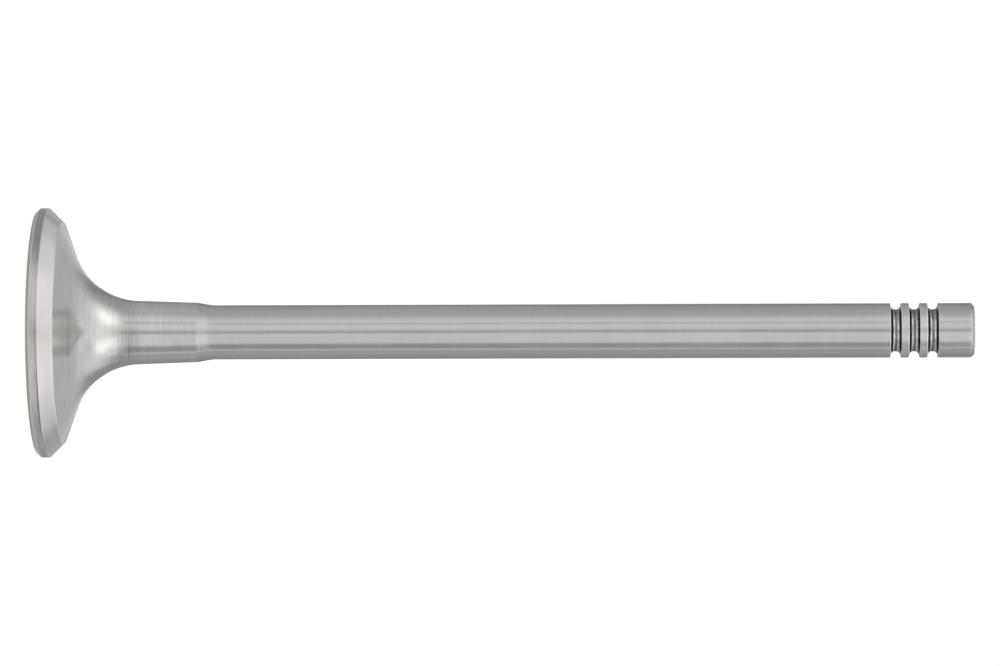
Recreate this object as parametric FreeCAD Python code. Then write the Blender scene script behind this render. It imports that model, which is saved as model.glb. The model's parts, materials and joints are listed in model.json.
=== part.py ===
"""Poppet valve of a small car engine: one piece of steel, turned and ground.

The valve stands on its combustion face, with its stem pointing up. The origin is
the centre of that face, +Z runs along the stem to the tip, and every length is in
millimetres. The whole outline is drawn once, as half of the valve's section, from
the middle of the face round the rim and up to the middle of the tip:

the face with its chamfer, the margin, the conical seat, the cone under the head,
the tulip's hollow curve, the tapered neck, its run-out, the ground stem, the collet
grooves and the chamfered tip. Turning that outline about the axis gives the valve.
"""
import math
import os

import FreeCAD
import Part

# Overall sizes
overall_length = 102.6
head_diameter = 27.4
stem_diameter = 5.96

# Rim of the head: the chamfer on the face, then the straight margin beside it
face_chamfer = 0.42
margin_width = 0.86

# Seat: its cone, measured from the plane of the face, and its width down the slope
seat_angle = 45.0
seat_width = 2.15

# Under the head: the cone beside the seat, and the hollow curve into the neck
underhead_angle = 20.4
tulip_radius = 7.6

# Neck: how far it stands out from the stem where it ends, its taper on each side,
# and the height at which it ends
neck_step = 0.29
neck_taper_angle = 1.95
neck_end_height = 17.6

# Run-out from the neck down to the ground stem, with the rounds at its two ends
runout_angle = 10.5
runout_neck_radius = 1.6
runout_stem_radius = 6.0

# Collet grooves: round at the bottom, with rounded lips and flat lands between them
groove_count = 3
groove_width = 1.13
groove_depth = 0.655
groove_lip_radius = 0.095
groove_land = 0.70

# Tip: its length from the last groove, and its chamfer
tip_length = 3.87
tip_chamfer = 0.35

# Most of a straight run that a round may use up: all but a little where the run's
# other end is sharp, and just under half where that end is rounded too
reach_beside_sharp = 0.98
reach_beside_round = 0.49

head_radius = head_diameter / 2
stem_radius = stem_diameter / 2
groove_half_width = groove_width / 2
lip_to_lip = groove_width + 2 * groove_lip_radius


def point(radius, height):
    """A point of the outline, in the half plane that holds the valve's axis."""
    return FreeCAD.Vector(radius, 0, height)


def toward(start, angle, distance):
    """The point at a distance from start, at an angle in degrees above straight outward."""
    turn = math.radians(angle)
    return start + point(math.cos(turn), math.sin(turn)) * distance


def crossing(start, angle, other_start, other_angle):
    """Where two slanting lines cross, each given by a point and an angle."""
    along = toward(point(0, 0), angle, 1)
    other = toward(point(0, 0), other_angle, 1)
    gap = other_start - start
    distance = (gap.x * other.z - gap.z * other.x) / (along.x * other.z - along.z * other.x)
    return start + along * distance


def arc(start, middle, end):
    """A round edge of the outline through three points."""
    return Part.Arc(start, middle, end).toShape()


def room_beside(corner, neighbour, neighbour_round):
    """How much of the run from a corner to its neighbour the corner's round may use."""
    share = reach_beside_round if neighbour_round > 0 else reach_beside_sharp
    return corner.distanceToPoint(neighbour) * share


def rounded(corner, before, after, radius, room):
    """The start, middle and end of the arc that rounds the corner between two runs.

    The radius gives way where the runs leave it too little room.
    """
    back = (before - corner).normalize()
    onward = (after - corner).normalize()
    half_angle = back.getAngle(onward) / 2
    reach = min(radius / math.tan(half_angle), room)
    fitted_radius = reach * math.tan(half_angle)
    inward = (back + onward).normalize()
    middle = corner + inward * (fitted_radius / math.sin(half_angle) - fitted_radius)
    return corner + back * reach, middle, corner + onward * reach


def edges_through(corners):
    """The edges along a run of corners, each given as a point and the radius of its round.

    The first and last corners are the ends of the run. A radius of 0 leaves a corner sharp.
    """
    edges = []
    reached = corners[0][0]
    for before, here, after in zip(corners, corners[1:], corners[2:]):
        corner, radius = here
        if radius > 0:
            room = min(room_beside(corner, *before), room_beside(corner, *after))
            start, middle, end = rounded(corner, before[0], after[0], radius, room)
            edges.append(Part.makeLine(reached, start))
            edges.append(arc(start, middle, end))
            reached = end
        else:
            edges.append(Part.makeLine(reached, corner))
            reached = corner
    edges.append(Part.makeLine(reached, corners[-1][0]))
    return edges


def head_corners():
    """The combustion face, its chamfer, the margin and the seat, to the seat's inner edge."""
    margin_end = face_chamfer + margin_width
    seat_outer_edge = point(head_radius, margin_end)
    seat_inner_edge = toward(seat_outer_edge, 180 - seat_angle, seat_width)
    return [
        (point(0, 0), 0),
        (point(head_radius - face_chamfer, 0), 0),
        (point(head_radius, face_chamfer), 0),
        (seat_outer_edge, 0),
        (seat_inner_edge, 0),
    ]


def neck_corners(seat_inner_edge):
    """The tulip's hollow curve, the tapered neck and the run-out, to the ground stem.

    The tulip rounds the corner where the cone under the head would meet the neck.
    """
    neck_end = point(stem_radius + neck_step, neck_end_height)
    tulip_corner = crossing(seat_inner_edge, 180 - underhead_angle, neck_end, 90 + neck_taper_angle)
    runout_length = neck_step / math.tan(math.radians(runout_angle))
    stem_start = point(stem_radius, neck_end_height + runout_length)
    return [
        (tulip_corner, tulip_radius),
        (neck_end, runout_neck_radius),
        (stem_start, runout_stem_radius),
    ]


def groove_middles():
    """The heights of the grooves' middles, from the lowest one up."""
    highest = overall_length - tip_length - lip_to_lip / 2
    pitch = lip_to_lip + groove_land
    return [highest - pitch * step for step in reversed(range(groove_count))]


def lip(middle, side):
    """A groove's lip: where it leaves the land, its middle, and where it meets the wall.

    The side is -1 for the lower lip and 1 for the upper one.
    """
    centre = point(stem_radius - groove_lip_radius, middle + side * lip_to_lip / 2)
    toward_wall = point(0, -side)
    toward_land = point(1, 0)
    halfway = (toward_wall + toward_land).normalize()
    return [centre + turn * groove_lip_radius for turn in (toward_land, halfway, toward_wall)]


def groove_edges(middle):
    """One collet groove, from the land below it to the land above it.

    The bottom is half a circle where the groove is deep enough, with straight walls
    above it, and a flatter arc between the lips where it isn't.
    """
    land_below, lower_halfway, lower_wall = lip(middle, -1)
    land_above, upper_halfway, upper_wall = lip(middle, 1)
    wall_length = groove_depth - groove_half_width - groove_lip_radius
    bottom_start = lower_wall
    bottom_end = upper_wall
    edges = [arc(land_below, lower_halfway, lower_wall)]
    if wall_length > 0:
        bottom_start = lower_wall - point(wall_length, 0)
        bottom_end = upper_wall - point(wall_length, 0)
        edges.append(Part.makeLine(lower_wall, bottom_start))
    edges.append(arc(bottom_start, point(stem_radius - groove_depth, middle), bottom_end))
    if wall_length > 0:
        edges.append(Part.makeLine(bottom_end, upper_wall))
    edges.append(arc(upper_wall, upper_halfway, land_above))
    return edges


def tip_corners():
    """The tip's chamfer and its flat end, to the axis."""
    return [
        (point(stem_radius, overall_length - tip_chamfer), 0),
        (point(stem_radius - tip_chamfer, overall_length), 0),
        (point(0, overall_length), 0),
    ]


def outline():
    """The closed half outline, with the valve's axis as its last edge."""
    head = head_corners()
    seat_inner_edge = head[-1][0]
    approach = head + neck_corners(seat_inner_edge)
    edges = []
    for middle in groove_middles():
        land_below = lip(middle, -1)[0]
        edges += edges_through(approach + [(land_below, 0)])
        edges += groove_edges(middle)
        land_above = lip(middle, 1)[0]
        approach = [(land_above, 0)]
    edges += edges_through(approach + tip_corners())
    edges.append(Part.makeLine(point(0, overall_length), point(0, 0)))
    return Part.Wire(edges)


def valve():
    """The whole valve, turned from its outline in one piece."""
    section = Part.Face(outline())
    return section.revolve(FreeCAD.Vector(0, 0, 0), FreeCAD.Vector(0, 0, 1), 360)


def main():
    """Builds the valve and writes it to the parts folder."""
    os.makedirs("parts", exist_ok=True)
    valve().exportStep("parts/engine_valve.step")


main()
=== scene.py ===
"""Poppet valve of a small car engine, turned and ground from one piece of steel.

The valve stands on its combustion face at the frame's origin, with its stem up along
+Z. It is drawn as half of its section, from the middle of the face, round the rim, up
the hollow neck and the stem, to the middle of the tip, and that outline is turned into
one closed mesh. Each stretch of the outline has the finish of the tool that made it:
facing, turning or grinding. The camera lies on its side, so that the stem points right.

The outline is in millimetres. The mesh, the studio and the camera are in metres.
"""

import json
import logging
import math
import random
from collections.abc import Callable
from dataclasses import dataclass, field
from enum import Enum
from functools import cache

import bpy
from mathutils import Matrix, Vector


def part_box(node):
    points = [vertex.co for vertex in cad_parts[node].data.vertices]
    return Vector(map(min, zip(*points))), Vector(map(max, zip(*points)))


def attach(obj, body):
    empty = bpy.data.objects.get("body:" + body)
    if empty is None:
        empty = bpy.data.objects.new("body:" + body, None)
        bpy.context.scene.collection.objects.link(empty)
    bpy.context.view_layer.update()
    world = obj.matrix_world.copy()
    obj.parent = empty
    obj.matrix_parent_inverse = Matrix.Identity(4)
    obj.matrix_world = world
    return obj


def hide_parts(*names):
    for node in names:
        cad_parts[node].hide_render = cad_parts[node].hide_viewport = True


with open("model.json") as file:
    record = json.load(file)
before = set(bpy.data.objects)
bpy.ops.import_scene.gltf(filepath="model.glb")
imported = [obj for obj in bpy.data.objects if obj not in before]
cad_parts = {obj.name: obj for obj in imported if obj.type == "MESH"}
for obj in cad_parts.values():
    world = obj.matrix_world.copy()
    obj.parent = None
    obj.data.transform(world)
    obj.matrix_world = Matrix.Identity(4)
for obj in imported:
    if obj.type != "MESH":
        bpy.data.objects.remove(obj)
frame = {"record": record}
LOG = logging.getLogger("engine_valve")

MM = 0.001
NODE = "engine_valve"
BODY = "root"

# The mesh's own measures, which the finishes read
RUN = "run_mm"
# Wear at the convex edges, which the colour brightens as wear and a painted highlight
EDGE_WEAR_AND_SHEEN = "worn_edge"
# Painted shade: darker colour along the chamfer by the face, along the margin by the seat, and in the
# grooves, where shade falls
PAINTED_SHADE = "groove_grime"
# The tool's lines: painted shade in their depth, and darker colour round them
SHADED_LINES = "tool_lines"
BAKE_MAP = "OFBake"

# Between which distances from its edge, in millimetres, a stretch's painted shade fades
CHAMFER_SHADE = (0.02, 0.26)
MARGIN_SHADE = (0.05, 0.17)

# The painted shade of a groove's walls and bottom goes by how far the outline leans from the
# axis there: 1 on a wall, and 0 at the bottom's middle
LOWER_WALL = (0.46, 0.66)
UPPER_WALL = (0.6, 0.76)
BOTTOM = (0.12, 0.34)
BOTTOM_SHADE = 0.72
LEAST_LOWER_SHADE = 0.2

Color = tuple[float, float, float]
Place = tuple[float, float]


class Stretch(Enum):
    """The stretches of the outline, in the order of the mesh's material slots."""

    FACE = 0
    CHAMFER = 1
    MARGIN = 2
    SEAT = 3
    UNDERHEAD = 4
    NECK = 5
    RUNOUT = 6
    STEM = 7
    GROOVE = 8
    LAND = 9
    TIP = 10


# How finely each stretch is drawn on the baked maps, against the others
MAP_SHARE = {
    Stretch.FACE: 0.35,
    Stretch.CHAMFER: 1.5,
    Stretch.MARGIN: 1.5,
    Stretch.SEAT: 1.5,
    Stretch.UNDERHEAD: 1.5,
    Stretch.NECK: 1.5,
    Stretch.RUNOUT: 1.2,
    Stretch.STEM: 0.35,
    Stretch.GROOVE: 2.0,
    Stretch.LAND: 2.0,
    Stretch.TIP: 0.8,
}


@dataclass(frozen=True)
class Corner:
    """A corner of the outline, in millimetres.

    The round is the radius that softens it, and stretch is what the run that leads to
    it belongs to. Step is the longest distance between two points on that run.
    """

    radius: float
    height: float
    round: float
    stretch: Stretch
    step: float = 0.5


@dataclass(frozen=True)
class Station:
    """A point of the sampled outline, with its distance along it, its wear and its painted shade."""

    radius: float
    height: float
    run: float
    wear: float
    painted_shade: float
    stretch: Stretch


def slope_point(start: Place, angle: float, distance: float) -> Place:
    """Finds a point at a distance in a direction.

    Args:
        start: Radius and height to start from.
        angle: Degrees above straight outward.
        distance: How far to go.

    Returns:
        The radius and height reached.
    """
    turn = math.radians(angle)
    return start[0] + distance * math.cos(turn), start[1] + distance * math.sin(turn)


def crossing(start: Place, angle: float, other: Place, other_angle: float) -> Place:
    """Finds where two slanting lines cross.

    Args:
        start: A point of the first line.
        angle: The first line's degrees above straight outward.
        other: A point of the second line.
        other_angle: The second line's degrees above straight outward.

    Returns:
        The radius and height of the crossing.
    """
    cos_a, sin_a = math.cos(math.radians(angle)), math.sin(math.radians(angle))
    cos_b, sin_b = math.cos(math.radians(other_angle)), math.sin(math.radians(other_angle))
    gap_r, gap_h = other[0] - start[0], other[1] - start[1]
    distance = (gap_r * sin_b - gap_h * cos_b) / (cos_a * sin_b - sin_a * cos_b)
    return slope_point(start, angle, distance)


def ramp(value: float, low: float, high: float) -> float:
    """Gives 0 below low, 1 above high and a smooth rise between them."""
    share = min(1.0, max(0.0, (value - low) / (high - low)))
    return share * share * (3 - 2 * share)


@dataclass(frozen=True)
class Side:
    """A side of the valve on which something shows most.

    Attributes:
        middle: Its middle, in degrees from +X.
        power: How narrow it is.
        least: How much shows on the far side.
        most: How much shows in its middle.
    """

    middle: float
    power: int
    least: float = 0.0
    most: float = 1.0

    def share(self, angle: float) -> float:
        """Gives how much shows at an angle round the axis, in radians."""
        near = max(0.0, math.cos(angle - math.radians(self.middle))) ** self.power
        return self.least + (self.most - self.least) * near


@dataclass
class Head:
    """The head's rim and seat, in millimetres.

    Attributes:
        radius: The head's radius, from the frame.
        face_chamfer: The chamfer between the face and the margin.
        margin: The height of the straight margin.
        seat_angle: The seat's cone, from the plane of the face, in degrees.
        seat_width: The seat's width down its slope.
        edge_round: How far use has softened the rim's edges.
    """

    radius: float
    face_chamfer: float = 0.42
    margin: float = 0.86
    seat_angle: float = 45.0
    seat_width: float = 2.15
    edge_round: float = 0.05

    def seat_inner_edge(self) -> Place:
        """Gives the radius and height of the seat's inner edge."""
        outer = (self.radius, self.face_chamfer + self.margin)
        return slope_point(outer, 180 - self.seat_angle, self.seat_width)

    def corners(self) -> list[Corner]:
        """Draws the face, its chamfer, the margin and the seat.

        Returns:
            The corners from the middle of the face to the seat's inner edge.
        """
        inner_radius, inner_height = self.seat_inner_edge()
        outer_height = self.face_chamfer + self.margin
        return [
            Corner(0, 0, 0, Stretch.FACE),
            Corner(self.radius - self.face_chamfer, 0, self.edge_round, Stretch.FACE, 1.0),
            Corner(self.radius, self.face_chamfer, self.edge_round, Stretch.CHAMFER, 0.1),
            Corner(self.radius, outer_height, self.edge_round, Stretch.MARGIN, 0.1),
            Corner(inner_radius, inner_height, self.edge_round, Stretch.SEAT, 0.3),
        ]


@dataclass
class Neck:
    """The hollow curve under the head, the tapered neck and its run-out, in millimetres.

    Attributes:
        stem_radius: The ground stem's radius, from the frame.
        start: The seat's inner edge, where the cone under the head begins.
        underhead_angle: That cone, from the plane of the face, in degrees.
        tulip_radius: The hollow curve from the cone into the neck.
        end_height: Where the neck ends and its run-out begins.
        step: How far the neck's end stands out from the stem.
        taper: The neck's taper on each side, in degrees.
        runout_angle: The run-out's slope on each side, in degrees.
        neck_round: The round where the neck meets its run-out.
        stem_round: The long round where the run-out meets the stem.
    """

    stem_radius: float
    start: Place
    underhead_angle: float = 20.4
    tulip_radius: float = 7.6
    end_height: float = 17.6
    step: float = 0.29
    taper: float = 1.95
    runout_angle: float = 10.5
    neck_round: float = 1.6
    stem_round: float = 6.0

    def corners(self) -> list[Corner]:
        """Draws the curve under the head, the neck and the run-out.

        Returns:
            The corners from the tulip's to the run-out's last one.
        """
        end = (self.stem_radius + self.step, self.end_height)
        tulip = crossing(self.start, 180 - self.underhead_angle, end, 90 + self.taper)
        stem_height = self.end_height + self.step / math.tan(math.radians(self.runout_angle))
        return [
            Corner(*tulip, self.tulip_radius, Stretch.UNDERHEAD, 0.2),
            Corner(*end, self.neck_round, Stretch.NECK, 0.2),
            Corner(self.stem_radius, stem_height, self.stem_round, Stretch.RUNOUT, 0.2),
        ]


@dataclass
class StemEnd:
    """The ground stem's end, with its collet grooves and its tip, in millimetres.

    Attributes:
        stem_radius: The ground stem's radius, from the frame.
        length: The valve's whole length, from the frame.
        groove_count: How many collet grooves there are.
        groove_width: A groove's width between its walls.
        groove_depth: A groove's depth under the stem's surface.
        lip: The round of a groove's lips.
        land: The flat between two grooves' lips.
        bottom_flat: What the rounds of a groove's bottom leave flat.
        tip_length: From the last groove's lip to the tip.
        chamfer: The tip's chamfer.
        edge_round: The round at the chamfer's edges.
    """

    stem_radius: float
    length: float
    groove_count: int = 3
    groove_width: float = 1.13
    groove_depth: float = 0.685
    lip: float = 0.095
    land: float = 0.70
    bottom_flat: float = 0.05
    tip_length: float = 3.87
    chamfer: float = 0.33
    edge_round: float = 0.2

    def groove(self, start: float, below: Stretch) -> list[Corner]:
        """Draws one groove.

        Args:
            start: The height where its lower lip begins.
            below: The stretch of the run that leads up to it.

        Returns:
            The corners of its two lips and of its round bottom.
        """
        bottom_radius = self.stem_radius - self.groove_depth
        low, high = start + self.lip, start + self.lip + self.groove_width
        bottom_round = (self.groove_width - self.bottom_flat) / 2
        return [
            Corner(self.stem_radius, low, self.lip, below, 1.2),
            Corner(bottom_radius, low, bottom_round, Stretch.GROOVE, 0.1),
            Corner(bottom_radius, high, bottom_round, Stretch.GROOVE, 0.1),
            Corner(self.stem_radius, high, self.lip, Stretch.GROOVE, 0.1),
        ]

    def corners(self) -> list[Corner]:
        """Draws the stem, the grooves and the tip.

        Returns:
            The corners from the first groove's lip to the middle of the tip.
        """
        pitch = self.groove_width + 2 * self.lip + self.land
        start = self.length - self.tip_length + self.land - self.groove_count * pitch
        drawn = []
        for index in range(self.groove_count):
            below = Stretch.LAND if index else Stretch.STEM
            drawn += self.groove(start + index * pitch, below)
        return drawn + [
            Corner(self.stem_radius, self.length - self.chamfer, self.edge_round, Stretch.STEM, 0.3),
            Corner(self.stem_radius - self.chamfer, self.length, self.edge_round, Stretch.TIP, 0.1),
            Corner(0, self.length, 0, Stretch.TIP, 0.4),
        ]


@dataclass(frozen=True)
class ToolLine:
    """One line that the turning tool cut round the neck, in millimetres and degrees.

    It is deepest on its heavy side and opposite it, and faintest is what is left of its
    depth between them. Power is how narrow the two are.
    """

    height: float
    depth: float
    half_width: float
    lean: float
    heavy_side: float
    faintest: float = 0.25
    power: int = 3

    def cut(self, height: float, angle: float) -> float:
        """Gives how deep the line is at a place.

        Args:
            height: The place's height.
            angle: The place's direction round the axis, in radians.

        Returns:
            The depth, in millimetres.
        """
        turn = angle - math.radians(self.heavy_side)
        off = (height - self.height - self.lean * math.sin(turn)) / self.half_width
        side = max(0.0, math.cos(2 * turn)) ** self.power
        return self.depth * math.exp(-off * off) * (self.faintest + (1 - self.faintest) * side)


@dataclass(frozen=True)
class ToolLines:
    """The coarse lines where the tulip's turning meets the neck's, in millimetres.

    Attributes:
        low: The height where they begin.
        high: The height where they end.
        margin: How far past them the mesh stays fine.
        nearest: The least distance between two lines.
        farthest: The most distance between two lines.
        depth: The deepest line's depth.
        shallowest: The shallowest line's depth, against the deepest one's.
        even: How far up from the lowest line they keep their depth.
        half_widths: The narrowest and the widest line's half width.
        lean: How far a line leans up or down on its way round, at most.
        heavy_sides: The heavy sides that they lie between, in degrees from +X.
        darkness_round_lines: How much darker the colour is round the lines, against the deepest line.
        darker_from: How far below the lines the colour starts to get darker, and is all darker.
        darker_to: The same past their upper end.
        seed: What the lines are drawn from.
    """

    low: float = 9.1
    high: float = 11.3
    margin: float = 0.2
    nearest: float = 0.11
    farthest: float = 0.23
    depth: float = 0.007
    shallowest: float = 0.35
    even: float = 1.3
    half_widths: tuple[float, float] = (0.03, 0.06)
    lean: float = 0.05
    heavy_sides: tuple[float, float] = (-88, -58)
    darkness_round_lines: float = 0.25
    darker_from: tuple[float, float] = (-1.8, -0.2)
    darker_to: tuple[float, float] = (-1.2, 0.6)
    seed: int = 5

    def reach(self) -> tuple[float, float]:
        """Gives the heights between which the mesh is fine enough for the lines."""
        return self.low - self.margin, self.high + self.margin

    def lines(self) -> list[ToolLine]:
        """Draws the lines.

        Returns:
            The lines, from the lowest one up.
        """
        draw = random.Random(self.seed)
        height, found = self.low, []
        while height < self.high:
            fading = 1 - ramp(height, self.low + self.even, self.high)
            share = self.shallowest + (1 - self.shallowest) * fading
            depth = self.depth * draw.uniform(self.shallowest, 1.0) * share
            half_width = draw.uniform(*self.half_widths)
            lean = draw.uniform(-self.lean, self.lean)
            found.append(ToolLine(height, depth, half_width, lean, draw.uniform(*self.heavy_sides)))
            height += draw.uniform(self.nearest, self.farthest)
        return found

    def darkening_round_lines(self, height: float) -> float:
        """Gives how much darker the colour is at a height, against the deepest line."""
        risen = ramp(height, *(self.low + off for off in self.darker_from))
        return self.darkness_round_lines * risen * (1 - ramp(height, *(self.high + off for off in self.darker_to)))


@dataclass
class Outline:
    """The valve's outline as it is sampled for the mesh.

    Attributes:
        corners: The outline's corners, from the middle of the face to that of the tip.
        lined: The heights between which the tool's lines need closer points.
        lined_step: The longest distance between two points there.
        arc_step: The widest angle between two points on a round, in degrees.
        support: The distance from a straight run's end to the point that holds it.
        last_pace: The least share of a pace that is left to the last point of a run.
        wear_reach: How far from a convex edge its wear shows, in millimetres.
        wear_turn: The least turn, in radians, that makes an edge of a corner.
        same: The distance within which two points are one.
        shortest: The length under which a straight run is left out.
        path: The points so far, each with its stretch.
        edges: The convex edges so far, past the face's own.
    """

    corners: list[Corner]
    lined: tuple[float, float]
    lined_step: float = 0.035
    arc_step: float = 9.0
    support: float = 0.03
    last_pace: float = 0.4
    wear_reach: float = 0.18
    wear_turn: float = 0.4
    same: float = 1e-5
    shortest: float = 1e-4
    path: list[tuple[Vector, Stretch]] = field(default_factory=list)
    edges: list[Vector] = field(default_factory=list)

    def add(self, place: Vector, stretch: Stretch) -> None:
        """Adds a point to the path, unless it lies on the last one."""
        if not self.path or (self.path[-1][0] - place).length > self.same:
            self.path.append((place, stretch))

    def paces(self, length: float, step: float, place_at: Callable[[float], Vector]) -> list[float]:
        """Paces out a run, in closer steps where the tool left its lines.

        Args:
            length: The run's length.
            step: The longest step elsewhere.
            place_at: Gives the place at a share of the run.

        Returns:
            The shares of the run at which points go, the last of them 1.
        """
        low, high = self.lined
        reached, found = 0.0, []
        while True:
            close = low <= place_at(reached).y <= high
            pace = min(step, self.lined_step) if close else step
            reached += pace / length
            if reached > 1 - self.last_pace * pace / length:
                return found + [1.0]
            found.append(reached)

    def add_straight(self, end: Vector, corner: Corner) -> None:
        """Adds a straight run, with a close point by each of its ends.

        Args:
            end: Where the run ends.
            corner: The corner that it leads to, which names its stretch and step.
        """
        start = self.path[-1][0]
        length = (end - start).length
        if length < self.shortest:
            return
        support = min(self.support, length / 3)
        near, far = start.lerp(end, support / length), end.lerp(start, support / length)
        self.add(near, corner.stretch)
        for share in self.paces(length - 2 * support, corner.step, lambda part: near.lerp(far, part)):
            self.add(near.lerp(far, share), corner.stretch)
        self.add(end, corner.stretch)

    def add_round(
        self, before: Vector, corner: Corner, after: Vector, next_stretch: Stretch
    ) -> None:
        """Adds the run up to a corner and the round that softens it.

        Args:
            before: The corner before it.
            corner: The corner itself.
            after: The corner after it.
            next_stretch: The stretch that the second half of the round belongs to.
        """
        place = Vector((corner.radius, corner.height))
        back, onward = (before - place).normalized(), (after - place).normalized()
        half = back.angle(onward) / 2
        reach = corner.round / math.tan(half)
        start, end = place + back * reach, place + onward * reach
        centre = place + (back + onward).normalized() * (corner.round / math.sin(half))
        self.add_straight(start, corner)
        sweep = math.pi - 2 * half
        first = start - centre
        turn = first.angle_signed(end - centre)

        def place_at(share: float) -> Vector:
            """Gives a place on the round.

            Args:
                share: How far along it, where 1 is its end.

            Returns:
                The place.
            """
            arm = first.copy()
            arm.rotate(Matrix.Rotation(-turn * share, 2))
            return centre + arm

        length = corner.round * sweep
        step = min(corner.step, length / 3, corner.round * math.radians(self.arc_step))
        for share in self.paces(length, step, place_at):
            self.add(place_at(share), corner.stretch if share <= 0.5 else next_stretch)
        convex = (place - before).angle_signed(after - place) < -self.wear_turn
        if convex and corner.stretch is not Stretch.FACE:
            self.edges.append(centre.lerp(place, corner.round / (centre - place).length))

    def shade_at(self, place: Vector, stretch: Stretch, across: Vector, wear: float) -> float:
        """Gives how dark the painted shade makes the steel at a point.

        Args:
            place: The point.
            stretch: The stretch that it belongs to.
            across: The outline's direction there, one long.
            wear: How much wear the steel has there.

        Returns:
            The painted shade, where 1 is the darkest.
        """
        # Painted shade at the chamfer's edge by the face, the margin's edge by the seat, and in the
        # grooves
        if stretch is Stretch.CHAMFER:
            return 1 - ramp(place.y, *CHAMFER_SHADE)
        if stretch is Stretch.MARGIN:
            seat_edge = self.edges[1]
            return 1 - ramp(seat_edge.y - place.y, *MARGIN_SHADE)
        if stretch is not Stretch.GROOVE:
            return 0.0
        leaning = abs(across.x)
        bottom = BOTTOM_SHADE * (1 - ramp(leaning, *BOTTOM))
        if across.x > 0:
            return ramp(leaning, *UPPER_WALL) * (1 - wear) + bottom
        return max(ramp(leaning, *LOWER_WALL) * (1 - wear) + bottom, LEAST_LOWER_SHADE * (1 - wear))

    def stations(self) -> list[Station]:
        """Samples the outline.

        Returns:
            The points from the middle of the face to the middle of the tip.
        """
        places = [Vector((corner.radius, corner.height)) for corner in self.corners]
        self.add(places[0], self.corners[0].stretch)
        for index in range(1, len(places) - 1):
            corner, following = self.corners[index], self.corners[index + 1]
            self.add_round(places[index - 1], corner, places[index + 1], following.stretch)
        self.add_straight(places[-1], self.corners[-1])
        run, found = 0.0, []
        for index, (place, stretch) in enumerate(self.path):
            last = self.path[max(0, index - 1)][0]
            following = self.path[min(len(self.path) - 1, index + 1)][0]
            run += (place - last).length
            nearest = min((place - edge).length for edge in self.edges)
            wear = 1 - ramp(nearest, 0.0, self.wear_reach)
            painted_shade = self.shade_at(place, stretch, (following - last).normalized(), wear)
            found.append(Station(place.x, place.y, run, wear, painted_shade, stretch))
        return found


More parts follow.
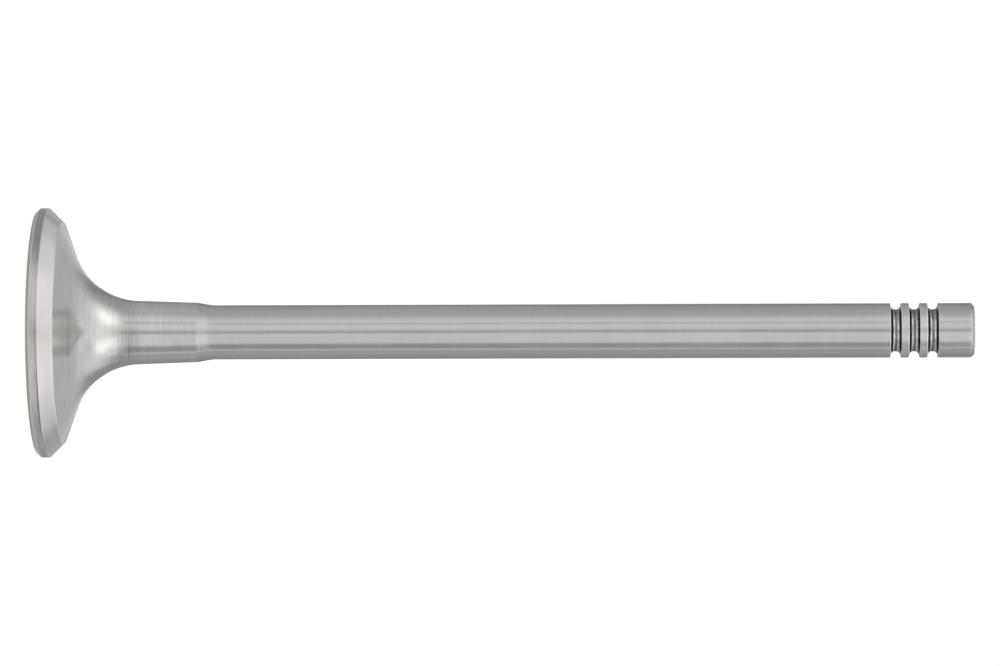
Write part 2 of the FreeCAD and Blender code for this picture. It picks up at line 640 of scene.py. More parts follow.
@dataclass
class Valve:
    """The whole valve, turned from its outline.

    Attributes:
        head: The head's rim and seat.
        neck: The neck.
        stem_end: The stem with its grooves and tip.
        margin_shade_side: The side where the painted shade at the margin's edge is darkest.
        groove_shade_side: The side where the painted shade in the grooves' bottoms is darkest.
        lines_darker_side: The side where the colour round the tool's lines is darkest.
        tool_lines: The coarse lines at the foot of the neck.
        sides: How many faces go round the valve.
    """

    head: Head
    neck: Neck
    stem_end: StemEnd
    # The sides where the margin's and the grooves' painted shade are darkest
    margin_shade_side: Side = Side(-58.0, 12, least=0.08)
    groove_shade_side: Side = Side(-152.0, 6, most=0.5)
    # The side where the colour round the tool's lines is darkest
    lines_darker_side: Side = Side(-76.0, 6, least=0.15)
    tool_lines: ToolLines = ToolLines()
    sides: int = 192

    def stations(self) -> list[Station]:
        """Samples the whole outline."""
        corners = self.head.corners() + self.neck.corners() + self.stem_end.corners()
        return Outline(corners, self.tool_lines.reach()).stations()

    def turn(self) -> bpy.types.Object:
        """Turns the outline into one closed mesh.

        Returns:
            The valve's object, with a material slot for each stretch.
        """
        stations = self.stations()
        rings = stations[1:-1]
        vertices, measures = self.points(stations, rings)
        faces, stretches = self.faces(stations, rings)
        mesh = bpy.data.meshes.new("valve")
        mesh.from_pydata(vertices, [], faces)
        for name, values in measures.items():
            mesh.attributes.new(name, "FLOAT", "POINT").data.foreach_set("value", values)
        mesh.polygons.foreach_set("material_index", stretches)
        mesh.shade_smooth()
        self.unroll(mesh, stations)
        valve = bpy.data.objects.new("valve", mesh)
        bpy.context.scene.collection.objects.link(valve)
        LOG.info("valve: %d stations, %d faces", len(stations), len(mesh.polygons))
        return valve

    def points(
        self, stations: list[Station], rings: list[Station]
    ) -> tuple[list[tuple[float, float, float]], dict[str, list[float]]]:
        """Places the mesh's points.

        Args:
            stations: The whole sampled outline.
            rings: The stations that make a ring, all but the two on the axis.

        Returns:
            The points, and the measures at each of them by name.
        """
        vertices = []
        measures = {RUN: [], EDGE_WEAR_AND_SHEEN: [], PAINTED_SHADE: [], SHADED_LINES: []}
        lines = self.tool_lines.lines()
        low, high = self.tool_lines.reach()
        angles = [2 * math.pi * side / self.sides for side in range(self.sides)]
        for station in rings:
            lined = low <= station.height <= high
            darkening_round_lines = self.tool_lines.darkening_round_lines(station.height)
            for angle in angles:
                cut = max(line.cut(station.height, angle) for line in lines) if lined else 0.0
                radius = (station.radius - cut) * MM
                vertices.append((radius * math.cos(angle), radius * math.sin(angle), station.height * MM))
                # The painted shade, darkest on one side of the margin and deeper on one side of the
                # grooves
                painted_shade = station.painted_shade
                if station.stretch is Stretch.MARGIN:
                    painted_shade *= self.margin_shade_side.share(angle)
                elif station.stretch is Stretch.GROOVE:
                    painted_shade = max(painted_shade, self.groove_shade_side.share(angle) * (1 - station.wear))
                measures[RUN].append(station.run)
                measures[EDGE_WEAR_AND_SHEEN].append(station.wear)
                measures[PAINTED_SHADE].append(painted_shade)
                # The tool's lines darken the colour as painted shade, and it is darker round them on one
                # side
                measures[SHADED_LINES].append(cut / self.tool_lines.depth + darkening_round_lines * self.lines_darker_side.share(angle))
        for end in (stations[0], stations[-1]):
            vertices.append((0, 0, end.height * MM))
            measures[RUN].append(end.run)
            for name in (EDGE_WEAR_AND_SHEEN, PAINTED_SHADE, SHADED_LINES):
                measures[name].append(0.0)
        return vertices, measures

    def faces(
        self, stations: list[Station], rings: list[Station]
    ) -> tuple[list[tuple[int, ...]], list[int]]:
        """Joins the mesh's points.

        Args:
            stations: The whole sampled outline.
            rings: The stations that make a ring.

        Returns:
            The faces, and the material slot of each.
        """
        faces, stretches = [], []
        pairs = [(side, (side + 1) % self.sides) for side in range(self.sides)]
        for ring, station in enumerate(rings[1:]):
            low, high = ring * self.sides, (ring + 1) * self.sides
            faces += [(low + side, low + onward, high + onward, high + side) for side, onward in pairs]
            stretches += [station.stretch.value] * self.sides
        top, foot_middle = (len(rings) - 1) * self.sides, len(rings) * self.sides
        faces += [(foot_middle, onward, side) for side, onward in pairs]
        faces += [(foot_middle + 1, top + side, top + onward) for side, onward in pairs]
        for end in (stations[0], stations[-1]):
            stretches += [end.stretch.value] * self.sides
        return faces, stretches

    def unroll(self, mesh: bpy.types.Mesh, stations: list[Station]) -> None:
        """Unrolls the mesh for the baked maps: round the axis across, along the outline up.

        Args:
            mesh: The valve's mesh.
            stations: The whole sampled outline.
        """
        heights, reached = [0.0], 0.0
        for last, here in zip(stations, stations[1:]):
            reached += (here.run - last.run) * MAP_SHARE[here.stretch]
            heights.append(reached)
        heights = [height / reached for height in heights]
        layer = mesh.uv_layers.new(name=BAKE_MAP)
        ring_count = len(stations) - 2
        for face in mesh.polygons:
            corners = list(face.vertices)
            sides = [index % self.sides for index in corners if index < ring_count * self.sides]
            wraps = max(sides) - min(sides) > 1
            for loop, index in zip(face.loop_indices, corners):
                ring, side = divmod(index, self.sides)
                if index >= ring_count * self.sides:
                    ring = -1 if index == ring_count * self.sides else ring_count
                    side = self.sides - 0.5 if wraps else sum(sides) / len(sides)
                elif wraps and side == 0:
                    side = self.sides
                layer.data[loop].uv = (side / self.sides, heights[ring + 1])

    def dress(self, valve: bpy.types.Object) -> None:
        """Gives each stretch its finish.

        Args:
            valve: The valve's object.
        """
        for stretch in Stretch:
            valve.data.materials.append(FINISHES[stretch].material())
            LOG.info("%s: %s", stretch.name.lower(), FINISHES[stretch].name)


Node = bpy.types.Node
Socket = bpy.types.NodeSocket
Value = Socket | float | tuple[float, ...]

# How far apart two seeds lie in the noise of marks and in that of stains
MARKS_SEED_GAP = 37.0
STAIN_SEED_GAP = 19.0

# The painted highlight's sector's two edges, by how far the steel faces +X there
HIGHLIGHT_LOW = (-0.52, -0.78)
HIGHLIGHT_HIGH = (-0.95, -0.91)

# How light the painted highlight makes the steel, and how dark the painted shade makes the tool's deepest
# line, against the rest
HIGHLIGHT_LEVEL = 1.45
LINE_SHADE = 0.35

# The colour of the painted shade, how much of it there always is, and how much the marks break up
SHADE_COLOR = (0.012, 0.011, 0.01)
SHADE_LEAST = 0.72
SHADE_PATCHY = 0.6

# What part of the noise of marks and of stains is stretched over 0 to 1
MARKS_SPREAD = (0.3, 0.7)
STAIN_SPREAD = (0.35, 0.65)

# How strong the finer marks are, against the coarser ones
MARKS_FINENESS = 0.6

# How much of an edge's wear and painted highlight there always is, and how much a noise breaks up
WEAR_SHEEN_LEAST = 0.35
WEAR_SHEEN_PATCHY = 0.9

# How much rougher stains are than clean steel
STAIN_ROUGHNESS = 0.06

# A quarter turn, which makes the steel scatter across the marks round the axis
ACROSS_MARKS = 0.25


@dataclass
class Wiring:
    """The nodes and links of one tree, added a step at a time."""

    tree: bpy.types.NodeTree

    def plug(self, socket: Socket, value: Value) -> None:
        """Links a socket, or sets its own value.

        Args:
            socket: An input.
            value: The output that goes into it, or its value.
        """
        if isinstance(value, Socket):
            self.tree.links.new(value, socket)
        else:
            socket.default_value = value

    def node(self, kind: str, settings: dict[str, str] | None = None, **inputs: Value) -> Node:
        """Adds a node.

        Args:
            kind: The node's type.
            settings: The node's own settings.
            inputs: What goes into its named inputs.

        Returns:
            The node.
        """
        made = self.tree.nodes.new(kind)
        for name, setting in (settings or {}).items():
            setattr(made, name, setting)
        for name, value in inputs.items():
            self.plug(made.inputs[name.replace("_", " ")], value)
        return made

    def math(self, operation: str, first: Value, second: Value = 0.0, clamp: bool = False) -> Socket:
        """Adds a math node.

        Args:
            operation: What it does.
            first: Its first number.
            second: Its second number.
            clamp: Whether its result stays between 0 and 1.

        Returns:
            Its result.
        """
        made = self.node("ShaderNodeMath", {"operation": operation})
        made.use_clamp = clamp
        self.plug(made.inputs[0], first)
        self.plug(made.inputs[1], second)
        return made.outputs[0]

    def vector(self, operation: str, first: Value, second: Value = (0.0, 0.0, 0.0)) -> Socket:
        """Adds a vector math node.

        Args:
            operation: What it does.
            first: Its first vector.
            second: Its second vector, or the factor that it scales by.

        Returns:
            Its vector.
        """
        made = self.node("ShaderNodeVectorMath", {"operation": operation})
        self.plug(made.inputs[0], first)
        scale_input = 3
        if operation != "NORMALIZE":
            self.plug(made.inputs[scale_input if operation == "SCALE" else 1], second)
        return made.outputs[0]

    def measure(self, name: str) -> Socket:
        """Reads one of the mesh's own measures."""
        return self.node("ShaderNodeAttribute", {"attribute_name": name}).outputs["Fac"]

    def place(self) -> Socket:
        """Gives the place on the valve, in millimetres."""
        return self.vector("SCALE", self.node("ShaderNodeTexCoord").outputs["Object"], 1 / MM)

    def noise(self, place: Value, detail: float, roughness: float = 0.5) -> Socket:
        """Adds a noise whose bumps are about one unit of place wide.

        Args:
            place: Where in the noise.
            detail: How many finer layers it has.
            roughness: How strong each layer is, against the coarser one.

        Returns:
            The noise, from 0 to 1.
        """
        return self.node(
            "ShaderNodeTexNoise", Vector=place, Scale=1.0, Detail=detail, Roughness=roughness
        ).outputs["Fac"]

    def spread(self, value: Value, low: float, high: float) -> Socket:
        """Stretches low to high over 0 to 1.

        Args:
            value: What is stretched.
            low: Where it becomes 0.
            high: Where it becomes 1.

        Returns:
            The stretched value.
        """
        made = self.node("ShaderNodeMapRange", {"interpolation_type": "SMOOTHSTEP"}, Value=value)
        self.plug(made.inputs["From Min"], low)
        self.plug(made.inputs["From Max"], high)
        return made.outputs["Result"]

    def blend(self, share: Value, low: Value, high: Value) -> Socket:
        """Blends two colours.

        Args:
            share: How much of the second shows.
            low: The first colour.
            high: The second colour.

        Returns:
            The blended colour.
        """
        made = self.node("ShaderNodeMix", {"data_type": "RGBA"})
        self.plug(made.inputs["Factor"], share)
        # A mix node has its sockets for colours after those for numbers and vectors
        for socket, value in ((made.inputs[6], low), (made.inputs[7], high)):
            self.plug(socket, (*value, 1) if isinstance(value, tuple) else value)
        return made.outputs[2]

    def around(self, place: Value) -> Socket:
        """Gives the direction out from the axis, one long."""
        flat = self.vector("MULTIPLY", place, (1.0, 1.0, 0.0))
        return self.vector("NORMALIZE", flat)

    def wound(self, takes: Node, round_name: str, along_name: str, width: float = 1.0) -> Socket:
        """Gives a place in the noise that runs with the valve's turning.

        Args:
            takes: The group's inputs, which have a Seed.
            round_name: The input for how quickly the place changes round the axis.
            along_name: The input for the millimetres of outline to one of noise.
            width: A factor on the second.

        Returns:
            The place.
        """
        way = self.vector("SCALE", self.around(self.place()), takes.outputs[round_name])
        rows = self.math("DIVIDE", self.measure(RUN), takes.outputs[along_name])
        start = self.math("MULTIPLY", takes.outputs["Seed"], MARKS_SEED_GAP)
        line = self.math("ADD", self.math("MULTIPLY", rows, width), start)
        return self.vector("ADD", way, self.node("ShaderNodeCombineXYZ", Z=line).outputs[0])

    def group(self, tree: bpy.types.NodeTree, **inputs: Value) -> Node:
        """Places one of the shared groups.

        Args:
            tree: The group.
            inputs: What goes into its named inputs.

        Returns:
            The group's node.
        """
        made = self.tree.nodes.new("ShaderNodeGroup")
        made.node_tree = tree
        for name, value in inputs.items():
            self.plug(made.inputs[name], value)
        return made


def shared_group(
    name: str, takes: dict[str, float], gives: tuple[str, ...]
) -> tuple[Wiring, Node, Node]:
    """Starts a shader group that several finishes use.

    Args:
        name: The group's name.
        takes: Its inputs and their usual values.
        gives: Its outputs.

    Returns:
        The wiring, the node of the inputs and the node of the outputs.
    """
    tree = bpy.data.node_groups.new(name, "ShaderNodeTree")
    for label, usual in takes.items():
        socket = tree.interface.new_socket(
            name=label, in_out="INPUT", socket_type="NodeSocketFloat"
        )
        socket.default_value = usual
    for label in gives:
        tree.interface.new_socket(name=label, in_out="OUTPUT", socket_type="NodeSocketFloat")
    wiring = Wiring(tree)
    return wiring, wiring.node("NodeGroupInput"), wiring.node("NodeGroupOutput")


@cache
def lathe_marks() -> bpy.types.NodeTree:
    """Makes the marks of a tool that ran round the valve.

    They change across the outline at every Pitch, in millimetres, and slowly along
    themselves, about Sway times in each sixth of a turn.

    Returns:
        The group, which gives their Height and their Tone.
    """
    wiring, takes, gives = shared_group(
        "lathe_marks", {"Pitch": 0.15, "Sway": 1.5, "Seed": 0.0}, ("Height", "Tone")
    )
    for label, width, detail in (("Height", 1.0, 3.0), ("Tone", 0.43, 4.0)):
        place = wiring.wound(takes, "Sway", "Pitch", width)
        marks = wiring.noise(place, detail, MARKS_FINENESS)
        wiring.plug(gives.inputs[label], wiring.spread(marks, *MARKS_SPREAD))
    return wiring.tree


@cache
def out_of_round() -> bpy.types.NodeTree:
    """Makes the faint long waves that grinding leaves round a stem.

    There are about six times Lobes of them round the stem, each Length millimetres long.

    Returns:
        The group, which gives their Height.
    """
    wiring, takes, gives = shared_group(
        "out_of_round", {"Lobes": 3.0, "Length": 6.0, "Seed": 0.0}, ("Height",)
    )
    place = wiring.wound(takes, "Lobes", "Length")
    wiring.plug(gives.inputs["Height"], wiring.noise(place, detail=2.0))
    return wiring.tree


@cache
def steel_stain() -> bpy.types.NodeTree:
    """Makes the cloudy tints that handling and heat leave, in patches of Size millimetres.

    Returns:
        The group, which gives their Stain.
    """
    wiring, takes, gives = shared_group("steel_stain", {"Size": 4.0, "Seed": 0.0}, ("Stain",))
    finely = wiring.math("DIVIDE", 1.0, takes.outputs["Size"])
    scaled = wiring.vector("SCALE", wiring.place(), finely)
    start = wiring.math("MULTIPLY", takes.outputs["Seed"], STAIN_SEED_GAP)
    place = wiring.vector("ADD", scaled, wiring.node("ShaderNodeCombineXYZ", X=start).outputs[0])
    stain = wiring.spread(wiring.noise(place, detail=3.0), *STAIN_SPREAD)
    wiring.plug(gives.inputs["Stain"], stain)
    return wiring.tree


@cache
def edge_wear() -> bpy.types.NodeTree:
    """Makes the bright line along an edge, partly wear that use has rubbed and partly a painted
    highlight, broken up every Size millimetres.

    Returns:
        The group, which gives Worn: how much the wear and the painted highlight brighten the steel.
    """
    wiring, takes, gives = shared_group("edge_wear", {"Size": 0.8}, ("Worn",))
    finely = wiring.math("DIVIDE", 1.0, takes.outputs["Size"])
    scaled = wiring.vector("SCALE", wiring.place(), finely)
    broken = wiring.math("MULTIPLY", wiring.noise(scaled, detail=3.0), WEAR_SHEEN_PATCHY)
    broken = wiring.math("ADD", broken, WEAR_SHEEN_LEAST)
    worn_and_sheen = wiring.math("MULTIPLY", wiring.measure(EDGE_WEAR_AND_SHEEN), broken, clamp=True)
    wiring.plug(gives.inputs["Worn"], worn_and_sheen)
    return wiring.tree


@dataclass(frozen=True)
class Finish:
    """The look of one stretch of worked steel.

    Attributes:
        name: The material's name.
        color: The steel's colour, linear.
        roughness: How rough it is.
        anisotropy: How much more it scatters across the tool's marks than along them.
        pitch: The distance between the tool's marks, in millimetres.
        depth: The depth of the marks, in millimetres.
        tone: How much the marks darken and lighten the colour.
        sway: How quickly the marks change along themselves.
        seed: What sets its marks and stains apart from those of other finishes.
        waves: The depth of the long waves round the stem, in millimetres.
        stain: The colour of the stains.
        stained: How strong the stains are.
        worn_and_sheen: How bright the edges' wear and painted highlight are, against the rest.
        shade_strength: How dark the painted shade makes the groove's walls and the rim's edges, where
            there are any.
        lined: How dark the painted shade in the tool's coarse lines is.
        rim: How bright the steel stays where it is seen edge-on, against white.
        painted_highlight: How strongly a painted highlight brightens it on its -X side.
    """

    name: str
    color: Color
    roughness: float
    anisotropy: float
    pitch: float = 0.15
    depth: float = 0.001
    tone: float = 0.1
    sway: float = 1.5
    seed: float = 10.0
    waves: float = 0.0
    stain: Color = (0.50, 0.46, 0.43)
    stained: float = 0.25
    worn_and_sheen: float = 1.2
    shade_strength: float = 0.0
    lined: float = 0.0
    rim: float = 0.6
    painted_highlight: float = 0.0

    def scaled(self, share: float) -> Color:
        """Gives the colour, lighter or darker."""
        return tuple(min(1.0, part * share) for part in self.color)

    def painted_highlight_share(self, wiring: Wiring) -> Socket:
        """Gives how much the painted highlight brightens the steel.

        Args:
            wiring: The material's wiring.

        Returns:
            The share, over the surface.
        """
        around = wiring.around(wiring.place())
        side = wiring.node("ShaderNodeSeparateXYZ", Vector=around).outputs["X"]
        low, high = wiring.spread(side, *HIGHLIGHT_LOW), wiring.spread(side, *HIGHLIGHT_HIGH)
        return wiring.math("MULTIPLY", wiring.math("MULTIPLY", low, high), self.painted_highlight)

    def shade_share(self, wiring: Wiring, tone: Socket) -> Socket:
        """Gives how much painted shade covers the steel, broken up by the marks.

        Args:
            wiring: The material's wiring.
            tone: How light the tool's marks are.

        Returns:
            The share, over the surface.
        """
        patchy = wiring.math("MULTIPLY", tone, SHADE_PATCHY)
        patchy = wiring.math("ADD", patchy, SHADE_LEAST)
        painted_shade = wiring.math("MULTIPLY", wiring.measure(PAINTED_SHADE), patchy, clamp=True)
        return wiring.math("MULTIPLY", painted_shade, self.shade_strength)

    def blended(self, wiring: Wiring, tone: Socket, stain: Socket) -> Socket:
        """Blends the steel's colour.

        Args:
            wiring: The material's wiring.
            tone: How light the tool's marks are.
            stain: Where the stains are.

        Returns:
            The colour, with its marks, stains, the painted highlight of its -X side, the edges' wear and
            painted highlight, painted shade, and the tool's lines with their painted shade.
        """
        color = wiring.blend(tone, self.scaled(1 - self.tone), self.scaled(1 + self.tone))
        color = wiring.blend(wiring.math("MULTIPLY", stain, self.stained), color, self.stain)
        # Painted highlight on the -X side
        if self.painted_highlight:
            color = wiring.blend(self.painted_highlight_share(wiring), color, self.scaled(HIGHLIGHT_LEVEL))
        # The edges' wear, brightened as a painted highlight too
        worn_and_sheen = wiring.group(edge_wear()).outputs["Worn"]
        color = wiring.blend(worn_and_sheen, color, self.scaled(self.worn_and_sheen))
        # Painted shade: near-black at the rim's edges and in the grooves
        if self.shade_strength:
            color = wiring.blend(self.shade_share(wiring, tone), color, SHADE_COLOR)
        # Painted shade in the tool's coarse lines, and darker colour round them
        if self.lined:
            line = wiring.math("MULTIPLY", wiring.measure(SHADED_LINES), self.lined)
            color = wiring.blend(line, color, self.scaled(LINE_SHADE))
        return color

    def bumped(self, wiring: Wiring, height: Socket) -> Socket:
        """Bends the normal over the tool's marks and the long waves.

        Args:
            wiring: The material's wiring.
            height: How high the marks are.

        Returns:
            The normal.
        """
        bump = "ShaderNodeBump"
        normal = wiring.node(bump, Height=height, Distance=self.depth * MM).outputs[0]
        if self.waves:
            height = wiring.group(out_of_round(), Seed=self.seed).outputs["Height"]
            normal = wiring.node(
                bump, Height=height, Distance=self.waves * MM, Normal=normal
            ).outputs[0]
        return normal

    def material(self) -> bpy.types.Material:
        """Makes the material.

        Returns:
            The material, ready for a slot.
        """
        made = bpy.data.materials.new(self.name)
        made.use_nodes = True
        wiring = Wiring(made.node_tree)
        marks = wiring.group(lathe_marks(), Pitch=self.pitch, Sway=self.sway, Seed=self.seed)
        stain = wiring.group(steel_stain(), Seed=self.seed).outputs["Stain"]
        rougher = wiring.math("MULTIPLY", stain, STAIN_ROUGHNESS)
        tangent = wiring.node("ShaderNodeTangent", {"direction_type": "RADIAL", "axis": "Z"})
        looks = {
            "Base Color": self.blended(wiring, marks.outputs["Tone"], stain),
            "Metallic": 1.0,
            "Specular Tint": (self.rim, self.rim, self.rim, 1.0),
            "Roughness": wiring.math("ADD", rougher, self.roughness - STAIN_ROUGHNESS / 2),
            "Anisotropic": self.anisotropy,
            "Anisotropic Rotation": ACROSS_MARKS,
            "Tangent": tangent.outputs["Tangent"],
            "Normal": self.bumped(wiring, marks.outputs["Height"]),
        }
        shader = made.node_tree.nodes["Principled BSDF"]
        for name, value in looks.items():
            wiring.plug(shader.inputs[name], value)
        return made


FINISHES = {
    Stretch.FACE: Finish(
        "faced_steel", (0.58, 0.57, 0.56), 0.32, 0.85, 0.30, 0.002, 0.10, seed=11.0
    ),
    Stretch.CHAMFER: Finish(
        "chamfer_steel", (0.43, 0.41, 0.39), 0.30, 0.8, 0.30, 0.003, 0.2,
        seed=13.0, worn_and_sheen=1.35, shade_strength=0.35,
    ),
    Stretch.MARGIN: Finish(
        "margin_steel", (0.55, 0.535, 0.525), 0.31, 0.5, 0.30, 0.002, 0.2,
        seed=12.0, worn_and_sheen=1.15, shade_strength=0.85, rim=0.8,
    ),
    # The seat's -X side carries a painted highlight
    Stretch.SEAT: Finish(
        "seat_steel", (0.70, 0.69, 0.675), 0.32, 0.93, 0.40, 0.002, 0.05,
        stain=(0.70, 0.65, 0.63), stained=0.4, worn_and_sheen=1.1, rim=0.93, painted_highlight=0.95,
    ),
    Stretch.UNDERHEAD: Finish(
        "underhead_steel", (0.61, 0.60, 0.59), 0.18, 0.85, 0.17, 0.0011, 0.055,
        seed=15.0, lined=0.65, rim=0.82,
    ),
    Stretch.NECK: Finish(
        "neck_steel", (0.64, 0.635, 0.62), 0.18, 0.85, 0.17, 0.0012, 0.05,
        seed=15.0, lined=0.65, rim=0.7,
    ),
    Stretch.RUNOUT: Finish(
        "runout_steel", (0.61, 0.61, 0.607), 0.21, 0.85, 0.40, 0.002, 0.04,
        seed=12.0, stained=0.1,
    ),
    Stretch.STEM: Finish(
        "stem_steel", (0.59, 0.59, 0.60), 0.20, 0.9, 0.15, 0.0003, 0.015,
        waves=0.006, stained=0.05, worn_and_sheen=1.15, rim=0.7,
    ),
    Stretch.GROOVE: Finish(
        "groove_steel", (0.76, 0.75, 0.735), 0.24, 0.6, 0.20, 0.004, 0.25, 3.0,
        seed=12.0, worn_and_sheen=1.3, shade_strength=0.97,
    ),
    Stretch.LAND: Finish(
        "land_steel", (0.54, 0.535, 0.525), 0.30, 0.4, 0.2, 0.002, 0.06, worn_and_sheen=1.6
    ),
    Stretch.TIP: Finish(
        "tip_steel", (0.46, 0.46, 0.46), 0.26, 0.8, 0.2, 0.001, 0.05, seed=9.0, worn_and_sheen=1.0
    ),
}


@dataclass(frozen=True)
class PhotoCamera:
    """The camera, level with the stem and lying on its side.

    Attributes:
        distance: From the lens to the valve's axis, in metres.
        height: Of the lens over the floor, in metres.
        aside: How far the lens is off the valve's axis, in metres.
        focal_pixels: The focal length in pixels of the picture.
        picture_width: The picture's width in pixels.
        sensor: The sensor's width, in millimetres.
        pan: How far the camera turns from the stem's level towards the head, in degrees.
        tilt: How far the stem rises to the right in the picture, in degrees.
    """

    distance: float = 0.626
    height: float = 0.067582
    aside: float = 0.000160
    focal_pixels: float = 5712.3
    picture_width: float = 1000.0
    sensor: float = 36.0
    pan: float = 1.540
    tilt: float = 0.168

    def place(self) -> bpy.types.Object:
        """Makes the camera and gives it to the scene.

        Returns:
            The camera's object.
        """
        data = bpy.data.cameras.new("photo_camera")
        data.sensor_width = self.sensor
        data.lens = self.focal_pixels / self.picture_width * self.sensor
        camera = bpy.data.objects.new("photo_camera", data)
        bpy.context.scene.collection.objects.link(camera)
        right, up, back = Vector((0, 0, 1)), Vector((-1, 0, 0)), Vector((0, -1, 0))
        level = Matrix((right, up, back)).transposed().to_4x4()
        panned = Matrix.Rotation(math.radians(self.pan), 4, "Y")
        tilted = Matrix.Rotation(math.radians(-self.tilt), 4, "Z")
        moved = Matrix.Translation((self.aside, -self.distance, self.height))
        camera.matrix_world = moved @ level @ (panned @ tilted)
        bpy.context.scene.camera = camera
        return camera


def bare_material(name: str) -> tuple[bpy.types.Material, Wiring]:
    """Makes a material for the studio, with no nodes yet.

    Args:
        name: Its name.

    Returns:
        The material and its wiring.
    """
    made = bpy.data.materials.new(name)
    made.use_nodes = True
    made.node_tree.nodes.clear()
    return made, Wiring(made.node_tree)


@dataclass(frozen=True)
class SoftBox:
    """A soft box or a grey flag behind the tent's cloth, in degrees as seen from the head."""

    middle: float
    half_width: float
    low: float
    high: float
    brightness: float
    soft: float = 12.0

    def share(self, angle: float, elevation: float) -> float:
        """Gives how much of it shows in a direction.

        Args:
            angle: Degrees round the valve, from the camera towards +X.
            elevation: Degrees above the head.

        Returns:
            The share, where 1 is all of it.
        """
        off = abs((angle - self.middle + 180) % 360 - 180)
        across = 1 - ramp(off, self.half_width - self.soft, self.half_width + self.soft)
        above = ramp(elevation, self.low - self.soft / 2, self.low + self.soft / 2)
        below = 1 - ramp(elevation, self.high - self.soft / 2, self.high + self.soft / 2)
        return across * above * below


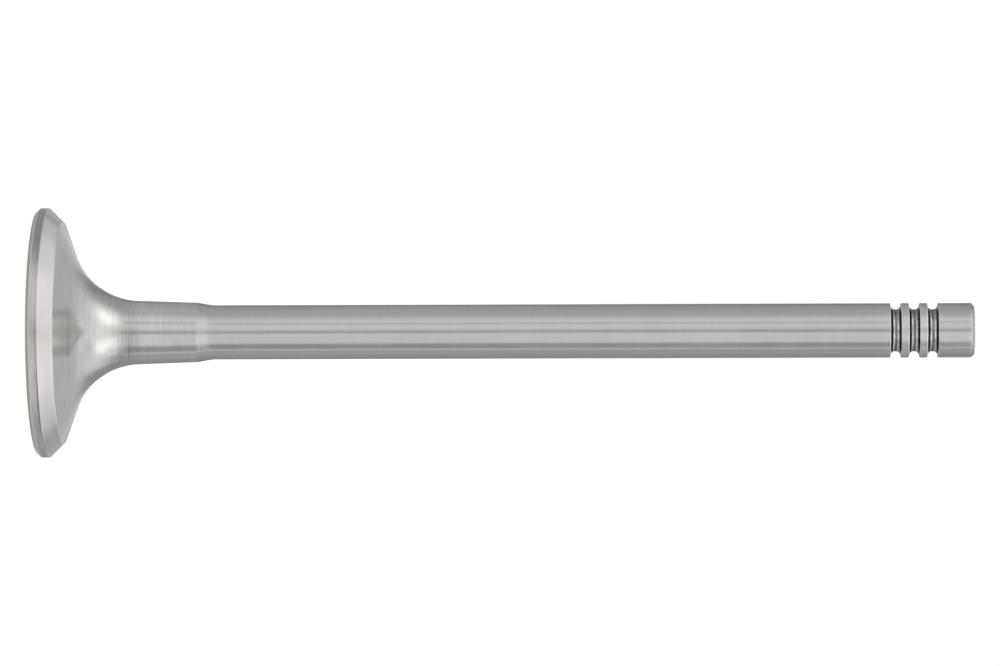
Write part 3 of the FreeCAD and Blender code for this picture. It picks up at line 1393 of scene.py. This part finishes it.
@dataclass(frozen=True)
class Tent:
    """The light tent that the steel reflects. The camera doesn't see it.

    Its skirt rises slowly from close by the head, so that the margin and the whole
    stem reflect it rather than the floor. Grey panels pattern the skirt, and the dome
    above them is white in front and greyer behind.

    Attributes:
        foot: The skirt's radius at the floor, in metres.
        radius: The dome's radius, in metres.
        skirt_top: The elevation where the skirt meets the dome, in degrees.
        skirt_rows: The radii of the skirt's rows between its foot and its rim, in metres.
        dome_rows: The elevations of the dome's rows, in degrees.
        near: The radius up to which the skirt shows the plainer cloth beside the head, in metres.
        fading: How much dimmer the panels get towards the dome.
        fading_from: The radius where that begins, in metres.
        zenith: The brightness overhead.
        overhead: The elevations between which the dome passes into it, in degrees.
        panels: Pairs of an angle round the valve, from the camera towards +X, and a brightness.
        beside: The same pairs for the cloth beside the head.
        dome: For an angle, the dome's brightness, and the elevation and width of the fade
            from the panels to it.
        boxes: The soft boxes.
    """

    foot: float = 0.0145
    radius: float = 0.9
    skirt_top: float = 9.5
    skirt_rows: tuple[float, ...] = (0.022, 0.03, 0.045, 0.1, 0.3)
    dome_rows: range = range(11, 90, 2)
    near: float = 0.045
    fading: float = 0.09
    fading_from: float = 0.3
    zenith: float = 1.02
    overhead: tuple[float, float] = (60, 82)
    panels: tuple[tuple[float, float], ...] = (
        (-180, 0.50), (-176, 0.84), (-165, 0.84), (-162, 0.44), (-144, 0.43), (-128, 0.50),
        (-106, 0.51), (-89, 0.57), (-74, 0.58), (-60, 0.71), (-53, 0.79), (-47, 0.85),
        (-40, 0.84), (-37, 0.69), (-35, 0.60), (-33, 0.69), (-30, 0.82), (-23, 0.87),
        (-14, 0.84), (-8, 0.74), (-5, 0.58), (0, 0.48), (4, 0.54), (7, 0.74), (11, 0.84),
        (20, 0.81), (41, 0.81), (46, 0.80), (50, 0.62), (54, 0.43), (60, 0.39), (70, 0.40),
        (76, 0.53), (79, 0.68), (82, 0.69), (85, 0.56), (88, 0.48), (97, 0.48), (106, 0.52),
        (116, 0.46), (150, 0.46), (164, 0.48), (168, 0.80), (176, 0.84), (180, 0.50),
    )
    beside: tuple[tuple[float, float], ...] = (
        (-180, 0.54), (-100, 0.50), (-66, 0.32), (-48, 0.34), (-37, 0.72), (-28, 0.94), (-20, 0.82),
        (-9, 0.76), (-2, 0.54), (4, 0.70), (20, 0.83), (39, 0.76), (52, 0.57), (110, 0.54), (180, 0.54),
    )
    dome: tuple[tuple[float, float, float, float], ...] = (
        (-180, 0.70, 25, 28), (-169, 0.69, 18, 22), (-158, 0.70, 25, 28), (-142, 0.78, 40, 28),
        (-120, 0.88, 44, 34), (-100, 1.00, 38, 32), (-84, 1.08, 31, 26), (-65, 1.12, 24, 20),
        (-30, 1.12, 20, 16), (-10, 1.08, 20, 20), (0, 1.05, 24, 26), (10, 1.08, 20, 20),
        (30, 1.12, 20, 16), (52, 1.12, 20, 14), (60, 1.10, 19, 12), (74, 1.08, 20, 14),
        (90, 1.02, 32, 34), (110, 0.97, 27, 32), (128, 0.92, 34, 26), (141, 0.82, 40, 22),
        (152, 0.75, 30, 24), (165, 0.69, 18, 20), (180, 0.70, 25, 28),
    )
    boxes: tuple[SoftBox, ...] = (
        SoftBox(-44, 16.5, 29, 50, 1.63), SoftBox(-66, 14, 39, 60, 1.5),
        SoftBox(34, 16, 27, 52, 1.6), SoftBox(57, 16, 42, 62, 1.75),
        SoftBox(86, 30, 60, 84, 0.8, 22), SoftBox(-86, 30, 60, 84, 0.88, 22),
    )

    @staticmethod
    def between(stops: tuple[tuple[float, ...], ...], angle: float) -> list[float]:
        """Gives the values between the two stops nearest to an angle.

        Args:
            stops: For each stop its angle and its values, from the least angle up.
            angle: The angle, in degrees.

        Returns:
            The values.
        """
        for low, high in zip(stops, stops[1:]):
            if low[0] <= angle <= high[0]:
                share = (angle - low[0]) / (high[0] - low[0])
                pairs = zip(low[1:], high[1:])
                return [first + (second - first) * share for first, second in pairs]
        return list(stops[-1][1:])

    def brightness(self, angle: float, elevation: float, radius: float) -> float:
        """Gives the cloth's brightness.

        Args:
            angle: Degrees round the valve, from the camera towards +X.
            elevation: Degrees above the head.
            radius: The distance from the axis, in metres.

        Returns:
            The brightness, where 1 is white.
        """
        faded = self.fading * ramp(radius, self.fading_from, self.radius)
        light = self.between(self.panels, angle)[0] * (1 - faded)
        plain = 1 - ramp(radius, self.foot, self.near)
        light += (self.between(self.beside, angle)[0] - light) * plain
        sky, middle, fade = self.between(self.dome, angle)
        light += (sky - light) * ramp(elevation, middle - fade / 2, middle + fade / 2)
        light += (self.zenith - light) * ramp(elevation, *self.overhead)
        for box in self.boxes:
            light += (box.brightness - light) * box.share(angle, elevation)
        return light

    def rows(self) -> list[tuple[float, float, float]]:
        """Works out the cloth's rows.

        Returns:
            The radius, height and elevation of each, from the floor up.
        """
        top = math.radians(self.skirt_top)
        rim, rise = self.radius * math.cos(top), self.radius * math.sin(top)
        found = []
        for radius in (self.foot, *self.skirt_rows, rim):
            found.append((radius, rise * (radius - self.foot) / (rim - self.foot), 0.0))
        for elevation in self.dome_rows:
            turn = math.radians(elevation)
            found.append((self.radius * math.cos(turn), self.radius * math.sin(turn), elevation))
        return found

    def cloth(self) -> bpy.types.Mesh:
        """Makes the cloth's mesh, with a face to each degree.

        Returns:
            The mesh, with its brightness as a measure of its points.
        """
        vertices, faces, lights = [], [], []
        rows, angles = self.rows(), range(-180, 180)
        for radius, height, elevation in rows:
            for angle in angles:
                turn = math.radians(angle)
                vertices.append((radius * math.sin(turn), -radius * math.cos(turn), height))
                lights.append(self.brightness(angle, elevation, radius))
        sides = len(angles)
        for row in range(len(rows) - 1):
            for side in range(sides):
                low, onward = row * sides + side, row * sides + (side + 1) % sides
                faces.append((low, onward, onward + sides, low + sides))
        mesh = bpy.data.meshes.new("light_tent")
        mesh.from_pydata(vertices, [], faces)
        mesh.attributes.new("glow", "FLOAT", "POINT").data.foreach_set("value", lights)
        return mesh

    def put_up(self) -> None:
        """Puts up the tent, whose cloth glows."""
        mesh = self.cloth()
        made, wiring = bare_material("tent_cloth")
        glow = wiring.node("ShaderNodeEmission", Strength=wiring.measure("glow"))
        wiring.node("ShaderNodeOutputMaterial", Surface=glow.outputs[0])
        mesh.materials.append(made)
        tent = bpy.data.objects.new("light_tent", mesh)
        bpy.context.scene.collection.objects.link(tent)
        tent.visible_camera = tent.visible_diffuse = tent.visible_shadow = False


@dataclass(frozen=True)
class Room:
    """The white room and the pale floor that the valve stands on.

    Attributes:
        half_floor: Half the floor's width, in metres.
        gap: What keeps the floor's surface off the valve's face, in metres.
        glow: The light that the floor gives by itself, where 1 is white.
        cloth: The floor's own colour, which takes the valve's shadow.
    """

    half_floor: float = 6.0
    gap: float = 0.00002
    glow: float = 0.84
    cloth: float = 0.24

    def light(self) -> None:
        """Lights the room evenly, and shows white behind the valve."""
        world = bpy.data.worlds.new("white_room")
        bpy.context.scene.world = world
        world.use_nodes = True
        world.node_tree.nodes.clear()
        wiring = Wiring(world.node_tree)
        glow = wiring.node("ShaderNodeBackground", Color=(1.0, 1.0, 1.0, 1.0), Strength=1.0)
        wiring.node("ShaderNodeOutputWorld", Surface=glow.outputs[0])

    def lay_floor(self) -> None:
        """Lays the floor, which is clear from below so that the face can be looked at."""
        half = self.half_floor
        corners = [(-half, -half), (half, -half), (half, half), (-half, half)]
        mesh = bpy.data.meshes.new("floor")
        mesh.from_pydata([(*corner, -self.gap) for corner in corners], [], [(0, 1, 2, 3)])
        made, wiring = bare_material("pale_floor")
        glow = wiring.node("ShaderNodeEmission", Strength=self.glow)
        grey = (self.cloth, self.cloth, self.cloth, 1.0)
        cloth = wiring.node("ShaderNodeBsdfDiffuse", Color=grey)
        both = wiring.node("ShaderNodeAddShader")
        wiring.plug(both.inputs[0], glow.outputs[0])
        wiring.plug(both.inputs[1], cloth.outputs[0])
        side = wiring.node("ShaderNodeNewGeometry")
        seen = wiring.node("ShaderNodeMixShader", Fac=side.outputs["Backfacing"])
        wiring.plug(seen.inputs[1], both.outputs[0])
        wiring.plug(seen.inputs[2], wiring.node("ShaderNodeBsdfTransparent").outputs[0])
        wiring.node("ShaderNodeOutputMaterial", Surface=seen.outputs[0])
        mesh.materials.append(made)
        floor = bpy.data.objects.new("floor", mesh)
        bpy.context.scene.collection.objects.link(floor)


def build_valve() -> None:
    """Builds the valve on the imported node's own sizes, and puts it in that node's place."""
    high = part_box(NODE)[1]
    mount = next(mount for mount in frame["record"]["mounts"] if mount["name"] == "stem")
    stem_radius = mount["dims"]["r_mm"]
    head = Head(radius=high.x / MM)
    neck = Neck(stem_radius=stem_radius, start=head.seat_inner_edge())
    stem_end = StemEnd(stem_radius=stem_radius, length=high.z / MM)
    valve = Valve(head, neck, stem_end)
    piece = valve.turn()
    valve.dress(piece)
    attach(piece, BODY)
    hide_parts(NODE)


def main() -> None:
    """Builds the valve and the studio around it."""
    logging.basicConfig(level=logging.INFO, format="%(name)s: %(message)s")
    bpy.context.scene.view_settings.view_transform = "Standard"
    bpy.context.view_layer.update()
    build_valve()
    room = Room()
    room.light()
    room.lay_floor()
    Tent().put_up()
    PhotoCamera().place()


if __name__ == "__main__":
    main()
